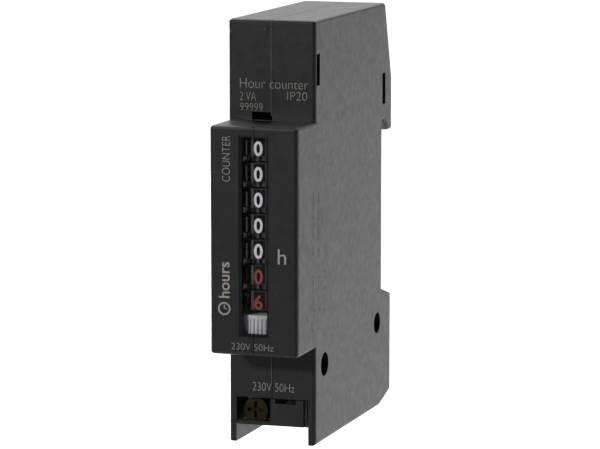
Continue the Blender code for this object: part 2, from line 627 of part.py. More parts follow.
def stator():
    """Cup, spool, winding and the plate whose claws stand round the magnet."""
    cup = part("motor_cup", STEEL, lambda bm: rod(bm, CUP_R, *CUP_Z, 0, MOTOR_Y, sides=36))
    apply_cut(cup, [cutter("motor_cup_hollow", lambda bm: rod(
        bm, CUP_R - CUP_WALL, CUP_Z[0] - 0.9, CUP_Z[1] - CUP_WALL, 0, MOTOR_Y, sides=36))])
    spool = ring_part("coil_bobbin", PALE_PLASTIC, SPOOL_R, SPOOL_HOLE_R, *SPOOL_Z)
    low, high = SPOOL_Z
    groove = cutter("coil_groove", lambda bm: rod(
        bm, SPOOL_R + 1.8, low + SPOOL_FLANGE, high - SPOOL_FLANGE, 0, MOTOR_Y, sides=32))
    core = cutter("coil_core", lambda bm: rod(
        bm, SPOOL_CORE_R, low + 0.3, high - 0.3, 0, MOTOR_Y, sides=32))
    hole = cutter("coil_core_hole", lambda bm: rod(
        bm, SPOOL_HOLE_R, low - 0.3, high + 0.4, 0, MOTOR_Y, sides=32))
    apply_cut(spool, [groove])
    apply_cut(spool, [core], "UNION")
    apply_cut(spool, [hole])
    ring_part("coil_winding", COPPER, WINDING_R, WINDING_HOLE_R, *WINDING_Z)
    plate = ring_part("pole_plate", STEEL, SPOOL_R, 0.8, *POLE_Z)
    claws = []
    for k in range(CLAWS):
        spin = Matrix.Rotation(k * 2 * math.pi / CLAWS, 4, "Z")
        turn = Matrix.Translation((0, MOTOR_Y, 0)) @ spin

        def claw(bm):
            verts = box(bm, (-CLAW_HALF, CLAW_HALF), CLAW_R, (29.5, CLAW_TOP_Z))
            bmesh.ops.transform(bm, matrix=turn, verts=verts)

        claws.append(cutter(f"claw_{k}", claw))
    apply_cut(plate, claws, "UNION")


def frames():
    """The bent sheet that carries the counter, and the plate on top of the gear train."""
    spot = transfer_spot()
    frame = part("counter_frame", STEEL, lambda bm: box(
        bm, (-FRAME_X, FRAME_X), FRAME_Y, (PLATE_LOW_Z, PLATE_LOW_Z + SHEET)))
    roof_y = (ROOF_FRONT_Y, SPINE_Y[1])
    walls = [
        ("spine", (-FRAME_X, FRAME_X), SPINE_Y, (PLATE_LOW_Z + 0.1, FRAME_TOP_Z + 0.3)),
        ("roof", (FLANGE_X[0], FRAME_X), roof_y, (FRAME_TOP_Z, FRAME_TOP_Z + SHEET)),
        ("flange", FLANGE_X, roof_y, (FLANGE_LOW_Z, FRAME_TOP_Z + SHEET)),
        ("lug", LUG_X, LUG_Y, (FLANGE_LOW_Z, LUG_TOP_Z)),
    ]
    joined = [cutter("frame_" + n, lambda bm: box(bm, x, y, z)) for n, x, y, z in walls]
    apply_cut(frame, joined, "UNION")
    drop = [cutter("frame_arch", lambda bm: box(
        bm, (-ARCH_X, ARCH_X), ARCH_Y, (PLATE_LOW_Z + SHEET, ARCH_TOP_Z)))]
    holes = [(AXLE_R + 0.1, 0, AXLE_Y, 18, 70), (TRANSFER_AXLE_R + 0.1, *spot, 30, 70)]
    holes += [(ARBOR_R + RUN, 0, y, 18, 25) for y in (IDLER_Y, SECOND_Y, FIRST_Y)]
    for i, (radius, x, y, low, high) in enumerate(holes):
        drop.append(cutter(f"frame_hole_{i}", lambda bm: rod(bm, radius, low, high, x, y, sides=20)))
    apply_cut(frame, drop)
    plate = part("gear_plate", BRASS, lambda bm: box(
        bm, (-FRAME_X, FRAME_X), (GEAR_PLATE_FRONT_Y, FRAME_Y[1]),
        (PLATE_HIGH_Z, PLATE_HIGH_Z + SHEET)))
    arbors = [(ARBOR_R + RUN, SECOND_Y), (ARBOR_R + RUN, FIRST_Y), (MOTOR_HOLE_R, MOTOR_Y)]
    apply_cut(plate, [cutter(f"plate_hole_{i}", lambda bm: rod(
        bm, radius, 25, 30, 0, y, sides=20)) for i, (radius, y) in enumerate(arbors)])


# ---------------------------------------------------------------- terminals

def terminals():
    for side, word in ((-1, "left"), (1, "right")):
        x = side * TERMINAL_X
        screw = part(f"terminal_screw_{word}", BRASS, lambda bm: rod(
            bm, HEAD_R, *HEAD_Y, x, TERMINAL_Z, sides=28, axis="Y"), (x, HEAD_Y[0], TERMINAL_Z))
        shank = cutter(f"terminal_shank_{word}", lambda bm: rod(
            bm, SHANK_R, HEAD_Y[1] - 0.3, SHANK_END_Y, x, TERMINAL_Z, sides=20, axis="Y"))
        apply_cut(screw, [shank], "UNION")
        apply_cut(screw, [cutter(f"terminal_slot_{word}_{k}", lambda bm: box(
            bm, (x - a, x + a), (1.0, TERMINAL_RECESS_Y), (TERMINAL_Z - b, TERMINAL_Z + b)))
            for k, (a, b) in enumerate(((TERMINAL_RECESS_HALF, TERMINAL_RECESS_WIDE),
                                        (TERMINAL_RECESS_WIDE, TERMINAL_RECESS_HALF)))])
        cage = part(f"clamp_cage_{word}", STEEL, lambda bm: box(
            bm, (x - CAGE_HALF, x + CAGE_HALF), CAGE_Y, CAGE_Z), (x, CAGE_Y[0], TERMINAL_Z))
        room = cutter(f"cage_room_{word}", lambda bm: box(
            bm, (x - CAGE_ROOM_HALF, x + CAGE_ROOM_HALF), CAGE_ROOM_Y, (2.0, 10.0)))
        hole = cutter(f"cage_hole_{word}", lambda bm: rod(
            bm, SHANK_R + 0.1, 4.0, 8.0, x, TERMINAL_Z, sides=20, axis="Y"))
        apply_cut(cage, [room, hole])
        part(f"contact_bar_{word}", COPPER, lambda bm: box(
            bm, (x - BAR_HALF, x + BAR_HALF), BAR_Y, BAR_Z))
        lead(f"lead_wire_{word}", side)
    guard()


def guard():
    """A plate across the chamber: open over the left screw, closed over the right one.

    A web behind it parts the two terminals, and a thin floor under the left screw closes its well.
    """
    plate = part("terminal_guard", PLASTIC, lambda bm: box(
        bm, (-GUARD_HALF, GUARD_HALF), GUARD_Y, GUARD_Z))
    web = cutter("guard_web", lambda bm: box(bm, GUARD_WEB_X, GUARD_WEB_Y, GUARD_WEB_Z))
    floor = cutter("guard_floor", lambda bm: box(bm, WELL_FLOOR_X, WELL_FLOOR_Y, WELL_FLOOR_Z))
    apply_cut(plate, [web, floor], "UNION")
    through, above = (0.0, 2.0), 10.0
    groove_y = (0.0, GUARD_Y[0] + GUARD_GROOVE_DEEP)
    apply_cut(plate, [
        cutter("guard_left", lambda bm: box(
            bm, (-8.0, GUARD_WEB_X[0] - 0.1), through, (GUARD_SILL_Z, above))),
        cutter("guard_slot", lambda bm: box(bm, GUARD_SLOT_X, through, (GUARD_SLOT_Z, above))),
        cutter("guard_groove", lambda bm: box(bm, GUARD_GROOVE_X, groove_y, (3.0, above))),
    ])


def lead(name, side):
    """A wire from a contact bar up to the coil, swept along a bent path."""
    curve = bpy.data.curves.new(name, "CURVE")
    curve.dimensions = "3D"
    curve.resolution_u = 6
    curve.bevel_depth = LEAD_R * MM
    curve.bevel_resolution = 1
    curve.use_fill_caps = True
    spline = curve.splines.new("NURBS")
    spline.points.add(len(LEAD_PATH) - 1)
    for spot, (x, y, z) in zip(spline.points, LEAD_PATH):
        spot.co = (side * x * MM, (y - SEAT_Y) * MM, (z - RAIL_MIDDLE_Z) * MM, 1.0)
    spline.use_endpoint_u = True
    spline.order_u = 4
    obj = bpy.data.objects.new(name, curve)
    curve.materials.append(WIRE)
    PARTS.objects.link(obj)


# ---------------------------------------------------------------- rail latch

def rail_latch():
    """A sprung slide whose toe holds the rail's lower edge from behind."""
    latch = part("rail_latch", PLASTIC, lambda bm: outline_solid(
        bm, [(LATCH_Y[0], LATCH_BOTTOM_Z), (LATCH_Y[1], LATCH_BOTTOM_Z), (LATCH_Y[1], TOE_Z[0] + 0.4),
             (LATCH_Y[1] - 1.2, TOE_Z[1]), (TOE_Y, TOE_Z[1]), (TOE_Y, TOE_Z[0]),
             (LATCH_Y[0], TOE_Z[0])], -LATCH_HALF, LATCH_HALF, axis="X"),
        (0, SPRING_Y, LATCH_BOTTOM_Z))
    tail = cutter("latch_tail", lambda bm: box(
        bm, TAIL_X, TAIL_Y, (TAIL_BOTTOM_Z, LATCH_BOTTOM_Z + 0.5)))
    slot = cutter("latch_slot", lambda bm: box(bm, (-2.4, -0.4), (46.0, 51.0), (-0.3, 0.8)))
    apply_cut(latch, [tail], "UNION")
    apply_cut(latch, [slot])
    spring()


def spring():
    """A round wire swept along a helix, one step at a time."""
    low, high = SPRING_Z
    steps = SPRING_TURNS * SPRING_STEPS
    centre = Vector((SPRING_X, SPRING_Y, 0))
    turn = Matrix.Rotation(2 * math.pi / SPRING_STEPS, 4, "Z")
    rise = Vector((0, 0, (high - low) / steps))
    bm = bmesh.new()
    start = Matrix.Translation((SPRING_X + SPRING_R, SPRING_Y, low))
    bmesh.ops.create_circle(bm, cap_ends=True, segments=6, radius=SPRING_WIRE_R,
                            matrix=start @ Matrix.Rotation(math.pi / 2, 4, "X"))
    face = next(iter(bm.faces))
    for i in range(steps):
        face = pull(bm, face, keep=i == 0)
        for v in face.verts:
            v.co = centre + turn @ (v.co - centre) + rise
    obj = finish(bm, "latch_spring", STEEL)
    origin_at(obj, SPRING_X, SPRING_Y, low)


clear_scene()
PARTS = collection(COLLECTION)
HELPERS = collection(COLLECTION + "_helpers")
PLASTIC = material("housing_plastic", (0.028, 0.028, 0.03), 0.55)
DRUM = material("drum_plastic", (0.03, 0.03, 0.032), 0.5)
WHITE = material("white_plastic", (0.62, 0.62, 0.64), 0.5)
PALE_PLASTIC = material("pale_plastic", (0.55, 0.54, 0.5), 0.5)
LENS = material("clear_plastic", (0.9, 0.92, 0.92), 0.05, alpha=0.2)
STEEL = material("steel", (0.55, 0.55, 0.56), 0.35, metal=1.0)
ZINC = material("zinc_steel", (0.6, 0.6, 0.6), 0.3, metal=1.0)
BRASS = material("brass", (0.72, 0.55, 0.28), 0.35, metal=1.0)
COPPER = material("copper", (0.72, 0.4, 0.25), 0.35, metal=1.0)
MAGNET = material("ferrite", (0.06, 0.06, 0.065), 0.6)
WIRE = material("wire_sleeve", (0.35, 0.04, 0.03), 0.5)
housing()
drums()
running_wheel()
movement()
terminals()
rail_latch()
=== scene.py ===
"""The looks of an hours-run meter for a 35 mm rail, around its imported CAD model.

X runs across the meter, Y from its front to the rail, Z up. Where a place can come from the box
of a CAD node, it does. Lengths are in millimetres unless a comment says metres, and MM turns
them into metres. Heights on the housing are measured from the block's foot.
"""

import json
import math

import bmesh
import bpy
from mathutils import Matrix, Vector


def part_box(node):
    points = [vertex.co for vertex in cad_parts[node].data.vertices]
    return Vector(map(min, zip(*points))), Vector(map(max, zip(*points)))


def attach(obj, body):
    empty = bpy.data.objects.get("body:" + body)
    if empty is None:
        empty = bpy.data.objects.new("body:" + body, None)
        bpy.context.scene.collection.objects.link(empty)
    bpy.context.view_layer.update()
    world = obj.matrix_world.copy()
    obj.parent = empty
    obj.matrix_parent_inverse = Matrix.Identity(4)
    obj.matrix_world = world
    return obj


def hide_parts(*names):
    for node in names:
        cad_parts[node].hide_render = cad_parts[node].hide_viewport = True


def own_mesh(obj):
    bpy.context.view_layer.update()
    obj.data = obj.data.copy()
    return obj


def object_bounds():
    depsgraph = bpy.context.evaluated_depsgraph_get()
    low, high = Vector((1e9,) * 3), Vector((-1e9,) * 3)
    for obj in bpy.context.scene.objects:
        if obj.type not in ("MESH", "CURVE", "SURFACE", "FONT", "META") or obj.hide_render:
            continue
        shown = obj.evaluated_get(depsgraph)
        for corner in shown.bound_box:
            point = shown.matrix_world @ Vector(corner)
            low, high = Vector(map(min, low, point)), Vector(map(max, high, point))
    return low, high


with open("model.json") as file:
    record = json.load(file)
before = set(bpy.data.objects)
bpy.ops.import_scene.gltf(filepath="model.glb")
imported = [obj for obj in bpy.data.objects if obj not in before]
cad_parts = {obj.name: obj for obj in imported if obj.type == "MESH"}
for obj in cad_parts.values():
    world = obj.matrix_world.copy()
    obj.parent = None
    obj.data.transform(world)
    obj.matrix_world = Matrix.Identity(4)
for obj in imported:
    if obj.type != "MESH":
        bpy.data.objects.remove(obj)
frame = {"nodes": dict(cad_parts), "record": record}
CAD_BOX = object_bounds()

MM = 0.001

# The meter's front planes and the height of its rail's middle, from the middle of the rail seat
BLOCK_FRONT = -45.25
RAIL_MIDDLE = 42.5
NOSE_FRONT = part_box("housing_right")[0].y / MM

# Number drums: how many, how many of them have white figures, the facets on each, the facets'
# distance from the axle, and the figure in the window at rest, from the top drum down
DRUMS = 7
WHITE_DRUMS = 5
FACETS = 10
FACET_IN_R = 4.6
SHOWN = (0, 0, 0, 0, 0, 0, 6)

# Figures on the facets: the size of a nought, how much bolder than the typeface its strokes are,
# their thickness, and how far below the drum's top end their middle lies
FIGURE_WIDE, FIGURE_TALL = 1.78, 2.93
FIGURE_WEIGHT = 0.022
FIGURE_THICK = 0.03
FIGURE_DROP = 2.2

# Black ground behind each figure, printed ink that runs on to the facet's right edge as painted
# shadow of the window's right wall: its span across the facet, its thickness to each side of the
# facet, and how far below the drum's top end its foot and its head lie
GROUND_AND_SHADOW_X = (-0.95, 1.44)
GROUND_THICK = 0.012
GROUND_DROP = (3.62, 0.08)

# Print on the housing: its thickness, and how much bolder than the typeface its strokes are, in
# shares of the letters' size; and the steps of a letter's curves
PRINT_THICK = 0.015
THIN, MEDIUM, PLAIN, HEAVY = -0.02, -0.008, 0.0, 0.014
LETTER_STEPS = 6

# How deep a thin plate reaches into the surface it lies on
SINK = 0.01

# Symbol of a clock beside the window: its middle, the radii of its ring and the sides the ring is
# drawn with, and for each hand its length, width and angle in degrees
CLOCK_X, CLOCK_Z = -6.05, 28.7
CLOCK_R = (0.95, 1.3)
CLOCK_SIDES = 48
CLOCK_HANDS = ((0.8, 0.2, 90), (0.55, 0.22, 0))

# Dotted line down the right side: its dots, its place along Y and in height, and a dot's size
DOTS = 32
DOT_Y, DOT_Z = -22.6, (30.0, 78.0)
DOT_SIZE, DOT_THICK = 0.28, 0.015

# Painted highlight along the left shell's edge at the seam, where the edge catches the light
SEAM_HIGHLIGHT_X = (-0.16, -0.065)
SEAM_HIGHLIGHT_Z = {"upper": (65.5, 84.1), "lower": (12.3, 19.2)}
SEAM_HIGHLIGHT_THICK = 0.02

# Fine line down the nose's right side, near its front
PARTING_Y, PARTING_Z = NOSE_FRONT + 1.05, (20.6, 63.5)
PARTING_HALF, PARTING_THICK = 0.05, 0.012

# Spring behind the rail latch: its wire, its turns, and how many points lie round the wire and
# along a turn
SPRING_WIRE_R = 0.18
SPRING_TURNS = 5
SPRING_AROUND, SPRING_ALONG = 12, 32

# Floor: how far it lies below the meter, and in metres how far it reaches each way and where along
# Y it turns from grey paper in front of the meter to white paper behind it
FLOOR_DROP = 150.0
FLOOR_REACH = 6.0
PAPER_Y = (-0.45, 0.15)
PAPER_GREY, PAPER_WHITE = (0.32, 0.32, 0.32), (0.94, 0.94, 0.94)

# Room light: its strength in front of the meter and behind it, and the span of directions along Y
# over which the one turns into the other
ROOM_STRENGTH = (0.07, 0.7)
ROOM_Y = (-0.1, 0.75)

# Lamps: where each stands, the point it faces and its size, all in metres, and its watts
LAMPS = {
    "floor_light": ((0.0, 2.8, 2.2), (0.0, 2.6, 0.0), (5.0, 4.6), 136.0),
    "left_softbox": ((-1.1, 0.75, 0.25), (0, 0, 0), (0.8, 0.8), 30.0),
    "key_light": ((-0.43, -0.98, 0.38), (0, -0.04, 0.01), (0.1, 0.1), 6.5),
}

# Camera: where it stands, the direction it stands in, in degrees, its lens and its sensor, its
# shift in shares of the frame's width, and the nearest and furthest it sees, in metres
CAMERA_AT = (214.4, -680.7, 98.4)
AZIMUTH, ELEVATION = 18.13, 8.26
LENS, SENSOR = 206.3, 36.0
SHIFT = (-0.0042, 0.0037)
CLIP = (0.05, 20.0)

# Noise scale of the spark-eroded grain on moulded plastic, which printed ink shows too
GRAIN_SCALE = 5200

# Rise of one turn of the winding's wire
WINDING_PITCH = 0.16


# ---------------------------------------------------------------- materials

def new_material(name, **values):
    """A material with a Principled shader; values are for its sockets, spaces written as _."""
    made = bpy.data.materials.new(name)
    made.use_nodes = True
    shader = made.node_tree.nodes["Principled BSDF"]
    for socket, value in values.items():
        shader.inputs[socket.replace("_", " ")].default_value = value
    return made


def add(material, kind, settings=(), **values):
    """A new node; settings are its properties, and values its sockets, numbers or other outputs."""
    tree = material.node_tree
    made = tree.nodes.new("ShaderNode" + kind)
    for name, value in dict(settings).items():
        setattr(made, name, value)
    for socket, value in values.items():
        target = made.inputs[socket.replace("_", " ")]
        if isinstance(value, bpy.types.NodeSocket):
            tree.links.new(value, target)
        else:
            target.default_value = value
    return made


def place(material, stretch=(1, 1, 1)):
    """The point on the surface in metres, stretched along the axes."""
    spot = add(material, "TexCoord").outputs["Object"]
    return add(material, "Mapping", Vector=spot, Scale=stretch).outputs["Vector"]


def noise(material, scale, detail=3.0, stretch=(1, 1, 1)):
    """Soft noise with about that many features to a metre."""
    spot = place(material, stretch)
    return add(material, "TexNoise", Vector=spot, Scale=scale, Detail=detail).outputs["Fac"]


def ramp(material, value, low, high, colours):
    """Turns low..high of a value into a blend of two colours."""
    made = add(material, "ValToRGB", Fac=value)
    for stop, at, colour in zip(made.color_ramp.elements, (low, high), colours):
        stop.position = at
        stop.color = (*colour, 1.0)
    return made.outputs["Color"]


def span(material, value, low, high, start=0.0, end=1.0):
    """Turns low..high of a value into start..end."""
    made = add(material, "MapRange", Value=value, From_Min=low, From_Max=high,
               To_Min=start, To_Max=end)
    return made.outputs["Result"]


def into(material, socket, value):
    """Feeds a node's output into a socket of the Principled shader."""
    shader = material.node_tree.nodes["Principled BSDF"]
    material.node_tree.links.new(value, shader.inputs[socket])


def bump(material, *layers):
    """Stacks bumps: each layer is (height, depth in millimetres, strength)."""
    normal = None
    for height, depth, strength in layers:
        values = {"Height": height, "Distance": depth * MM, "Strength": strength}
        if normal is not None:
            values["Normal"] = normal
        normal = add(material, "Bump", **values).outputs["Normal"]
    into(material, "Normal", normal)


def moulded(name, dark, light, rough, grain=0.012, specks=None, specular=0.5):
    """Moulded plastic: fine spark-eroded grain, faint flow marks, and now and then a speck of dust."""
    made = new_material(name, Specular_IOR_Level=specular)
    flow = noise(made, 60, 3.0, (1, 1, 0.5))
    colour = ramp(made, flow, 0.2, 0.8, (dark, light))
    if specks:
        cells = add(made, "TexVoronoi", Vector=place(made), Scale=230.0).outputs["Distance"]
        dust = span(made, cells, 0.012, 0.02, 1.0, 0.0)
        colour = add(made, "Mix", {"data_type": "RGBA"}, Factor=dust, A=colour,
                     B=(*specks, 1.0)).outputs[2]
    into(made, "Base Color", colour)
    fine = noise(made, GRAIN_SCALE, 2.0)
    into(made, "Roughness", span(made, noise(made, 700, 4.0), 0.3, 0.7, rough - 0.05, rough + 0.05))
    bump(made, (noise(made, 30, 2.0), 0.03, 0.12), (fine, grain, 0.4))
    return made


def metal(name, dark, light, rough, stretch, scale=2600, depth=0.006):
    """Metal with fine drawn or turned lines; the noise behind them is stretched along the axes."""
    made = new_material(name, Metallic=1.0)
    lines = noise(made, scale, 5.0, stretch)
    into(made, "Base Color", ramp(made, noise(made, 320, 4.0), 0.3, 0.7, (dark, light)))
    into(made, "Roughness", span(made, lines, 0.25, 0.75, rough - 0.08, rough + 0.1))
    bump(made, (lines, depth, 0.5))
    return made


def ink(name, colour, rough=0.55, specular=0.5):
    """Printed ink: a little thinner and thicker from place to place."""
    made = new_material(name, Specular_IOR_Level=specular)
    thin = tuple(c * 0.72 for c in colour)
    into(made, "Base Color", ramp(made, noise(made, 2400, 3.0), 0.3, 0.6, (thin, colour)))
    into(made, "Roughness", span(made, noise(made, 3000, 2.0), 0.3, 0.7, rough - 0.06, rough + 0.08))
    bump(made, (noise(made, GRAIN_SCALE, 2.0), 0.006, 0.4))
    return made


def clear_lens():
    """Clear window plastic: mostly see-through, with a soft gloss and faint rubbing marks."""
    made = new_material("lens_clear", Alpha=0.07, Specular_IOR_Level=0.5)
    into(made, "Base Color", ramp(made, noise(made, 150, 3.0), 0.3, 0.7,
                                  ((0.012, 0.012, 0.013), (0.02, 0.021, 0.022))))
    into(made, "Roughness", span(made, noise(made, 1800, 4.0, (1, 1, 0.2)), 0.3, 0.75, 0.04, 0.12))
    return made


def wound_copper():
    """Enamelled wire in close turns round an upright spool, with painted shade between the turns."""
    made = new_material("winding_enamel", Metallic=0.85)
    along = place(made, (1, 1, 2 * math.pi / (WINDING_PITCH * MM)))
    height = add(made, "SeparateXYZ", Vector=along).outputs["Z"]
    turns = add(made, "Math", {"operation": "SINE"}, Value=height).outputs[0]
    ridge = span(made, turns, -1.0, 1.0)
    # Painted shade: the colour darkens in the grooves between the turns, where shade falls
    into(made, "Base Color", ramp(made, ridge, 0.1, 0.9, ((0.16, 0.05, 0.02), (0.62, 0.26, 0.12))))
    into(made, "Roughness", span(made, noise(made, 900), 0.3, 0.7, 0.25, 0.4))
    bump(made, (ridge, 0.05, 0.8))
    return made


HOUSING = moulded("housing_grained", (0.0105, 0.0099, 0.0107), (0.0135, 0.0128, 0.0137), 0.37,
                  specks=(0.3, 0.3, 0.29), specular=0.3)
# Lighter plastic for the painted highlight along the left shell's edge at the seam
SEAM_HIGHLIGHT = moulded("housing_seam_highlight", (0.07, 0.068, 0.07), (0.15, 0.147, 0.15), 0.4, grain=0.006)
DRUM = moulded("drum_moulded", (0.06, 0.061, 0.066), (0.08, 0.081, 0.087), 0.42, grain=0.006,
               specular=0.3)
WHEEL = moulded("wheel_white", (0.58, 0.58, 0.61), (0.68, 0.68, 0.71), 0.45, grain=0.006)
PALE = moulded("gear_pale", (0.5, 0.48, 0.43), (0.6, 0.58, 0.53), 0.45, grain=0.006)
SLEEVE = moulded("wire_sleeve_red", (0.25, 0.02, 0.015), (0.34, 0.035, 0.025), 0.42, grain=0.01)
FERRITE = moulded("ferrite_dark", (0.045, 0.045, 0.05), (0.075, 0.075, 0.08), 0.6, grain=0.02)
STEEL = metal("steel_satin", (0.42, 0.42, 0.43), (0.58, 0.58, 0.59), 0.34, (1, 1, 0.04))
ZINC = metal("zinc_plate", (0.5, 0.51, 0.53), (0.68, 0.69, 0.7), 0.3, (0.3, 1, 1), 1500)
# Brass darkened far below its own colour: painted shade for the terminal screws deep in their wells
BRASS_IN_PAINTED_SHADE = metal("brass_painted_shade", (0.014, 0.0115, 0.006), (0.035, 0.029, 0.015), 0.5, (1, 0.2, 1), 1500)
COPPER = metal("copper_satin", (0.5, 0.24, 0.13), (0.7, 0.38, 0.24), 0.32, (1, 1, 0.05))
WINDING = wound_copper()
LENS_CLEAR = clear_lens()
WHITE_INK = ink("figure_white", (0.88, 0.89, 0.95), 0.45)
RED_INK = ink("figure_red", (0.34, 0.042, 0.034), 0.45)
# Black ink for the figures' grounds, partly painted shadow of the window's right wall, and for a
# parting line
BLACK_INK = ink("figure_ground_and_shadow", (0.0025, 0.0025, 0.003), 0.35, specular=0.15)
PALE_INK = ink("print_pale", (0.32, 0.29, 0.26))
SOFT_INK = ink("print_soft", (0.29, 0.265, 0.24))
FAINT_INK = ink("print_faint", (0.085, 0.08, 0.078))

# Finish of each material slot in the CAD model
CAD_FINISH = {
    "housing_plastic": HOUSING, "drum_plastic": DRUM, "white_plastic": WHEEL, "pale_plastic": PALE,
    "clear_plastic": LENS_CLEAR, "steel": STEEL, "zinc_steel": ZINC, "brass": BRASS_IN_PAINTED_SHADE,
    "copper": COPPER, "ferrite": FERRITE, "wire_sleeve": SLEEVE,
}


def finish_cad_nodes():
    """Each CAD node gets the detailed material of its slot."""
    slots = {s["node"]: s["material_slot"] for s in frame["record"]["subparts"]}
    for name, obj in frame["nodes"].items():
        finish = WINDING if name == "coil_winding" else CAD_FINISH[slots[name]]
        for slot in obj.material_slots:
            slot.material = finish


# ---------------------------------------------------------------- mesh helpers

def at(x, y, z):
    """A place in metres from millimetres: x across, y from the rail seat, z from the block's foot."""
    return Vector((x, y, z - RAIL_MIDDLE)) * MM


def piece(name, mesh, body, material):
    """A visible object with that mesh and material, which rides the body."""
    obj = bpy.data.objects.new(name, mesh)
    bpy.context.scene.collection.objects.link(obj)
    mesh.materials.append(material)
    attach(obj, body)
    return obj


def text_mesh(words, weight):
    """A closed mesh of the words in the built-in typeface, and the extent of its outline."""
    curve = bpy.data.curves.new("letters", "FONT")
    curve.body = words
    curve.offset = weight
    curve.extrude = 0.5  # to each side, so one unit thick in all
    curve.resolution_u = LETTER_STEPS
    obj = bpy.data.objects.new("letters", curve)
    bpy.context.scene.collection.objects.link(obj)
    graph = bpy.context.evaluated_depsgraph_get()
    mesh = bpy.data.meshes.new_from_object(obj.evaluated_get(graph))
    bpy.data.objects.remove(obj)
    bpy.data.curves.remove(curve)
    xs = [v.co.x for v in mesh.vertices]
    ys = [v.co.y for v in mesh.vertices]
    return mesh, (min(xs), max(xs)), (min(ys), max(ys))


def letters(words, wide, tall, thick, weight, like=None):
    """A closed mesh of the words, facing -Y, its middle at the origin, in millimetres.

    The words fill wide by tall, or would if they were the words of like.
    """
    mesh, x, y = text_mesh(words, weight)
    full_x, full_y = x, y
    if like:
        model, full_x, full_y = text_mesh(like, weight)
        bpy.data.meshes.remove(model)
    middle = Vector((sum(x) / 2, sum(y) / 2, 0))
    fit = Matrix.Diagonal((wide / (full_x[1] - full_x[0]), tall / (full_y[1] - full_y[0]), thick, 1))
    stand = Matrix.Rotation(math.pi / 2, 4, "X")
    mesh.transform(Matrix.Scale(MM, 4) @ stand @ fit @ Matrix.Translation(-middle))
    bm = bmesh.new()
    bm.from_mesh(mesh)
    bmesh.ops.remove_doubles(bm, verts=bm.verts, dist=1e-8)
    bmesh.ops.recalc_face_normals(bm, faces=bm.faces)
    bm.to_mesh(mesh)
    bm.free()
    mesh.materials.clear()
    return mesh


def joined(name, parts):
    """One mesh from several (mesh, matrix) pairs; the meshes are used up."""
    bm = bmesh.new()
    for mesh, matrix in parts:
        mesh.transform(matrix)
        bm.from_mesh(mesh)
        bpy.data.meshes.remove(mesh)
    made = bpy.data.meshes.new(name)
    bm.to_mesh(made)
    bm.free()
    return made


def plate(x, y, z):
    """A closed box between pairs of millimetres, as a mesh."""
    bm = bmesh.new()
    size = Vector((x[1] - x[0], y[1] - y[0], z[1] - z[0])) * MM
    middle = Vector((sum(x), sum(y), sum(z))) * MM / 2
    bmesh.ops.create_cube(bm, size=1.0, matrix=Matrix.Translation(middle) @ Matrix.Diagonal((*size, 1)))
    mesh = bpy.data.meshes.new("plate")
    bm.to_mesh(mesh)
    bm.free()
    return mesh


# ---------------------------------------------------------------- number drums

def drum_figures():
    """Ten figures on each drum, each on a black ground of ink and painted shadow on its own facet."""
    for i in range(DRUMS):
        name = f"drum_{i + 1}"
        low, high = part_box(name)
        axle = Vector(((low.x + high.x) / 2, (low.y + high.y) / 2, 0))
        top = high.z / MM
        ground_z = (top - GROUND_DROP[0], top - GROUND_DROP[1])
        figure_z = top - FIGURE_DROP
        figures, grounds = [], []
        for k in range(FACETS):
            turn = Matrix.Translation(axle) @ Matrix.Rotation(-k * 2 * math.pi / FACETS, 4, "Z")
            digit = letters(str((SHOWN[i] + k) % 10), FIGURE_WIDE, FIGURE_TALL, FIGURE_THICK,
                            FIGURE_WEIGHT, like="0")
            out = Vector((0, -FACET_IN_R - FIGURE_THICK / 2, figure_z)) * MM
            figures.append((digit, turn @ Matrix.Translation(out)))
            ground_y = (-FACET_IN_R - GROUND_THICK, -FACET_IN_R + GROUND_THICK)
            # Ink behind the figure that runs on to the facet's right edge as painted shadow of the
            # window's right wall
            ground = plate(GROUND_AND_SHADOW_X, ground_y, ground_z)
            grounds.append((ground, turn))
        colour = WHITE_INK if i < WHITE_DRUMS else RED_INK
        piece(name + "_figures", joined(name + "_figures", figures), name, colour)
        piece(name + "_grounds", joined(name + "_grounds", grounds), name, BLACK_INK)


# ---------------------------------------------------------------- print

def front_print(name, words, x, z, plane, material, weight=THIN, turned=False):
    """Words on a front plane, filling the rectangle x by z; turned words read upwards."""
    wide, tall = x[1] - x[0], z[1] - z[0]
    if turned:
        wide, tall = tall, wide
    mesh = letters(words, wide, tall, PRINT_THICK, weight)
    if turned:
        mesh.transform(Matrix.Rotation(-math.pi / 2, 4, "Y"))
    mesh.transform(Matrix.Translation(at(sum(x) / 2, plane - PRINT_THICK / 2, sum(z) / 2)))
    return piece(name, mesh, "housing", material)


def side_print(name, words, y, z):
    """One line of faint small print on the right side, reading upwards between heights z."""
    tall = y[1] - y[0]
    mesh = letters(words, z[1] - z[0], tall, PRINT_THICK, MEDIUM)
    mesh.transform(Matrix.Rotation(-math.pi / 2, 4, "Y"))
    mesh.transform(Matrix.Rotation(math.pi / 2, 4, "Z"))
    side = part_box("housing_right")[1].x / MM
    mesh.transform(Matrix.Translation(at(side + PRINT_THICK / 2, sum(y) / 2, sum(z) / 2)))
    return piece(name, mesh, "housing", FAINT_INK)


def side_dots():
    """A dotted line of tiny raised dots down the right side."""
    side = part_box("housing_right")[1].x / MM
    dots = []
    half = DOT_SIZE / 2
    for i in range(DOTS):
        z = DOT_Z[0] + (DOT_Z[1] - DOT_Z[0]) * i / (DOTS - 1)
        dots.append((plate((side - SINK, side + DOT_THICK), (DOT_Y - half, DOT_Y + half),
                           (z - half - RAIL_MIDDLE, z + half - RAIL_MIDDLE)), Matrix()))
    piece("side_dots", joined("side_dots", dots), "housing", FAINT_INK)


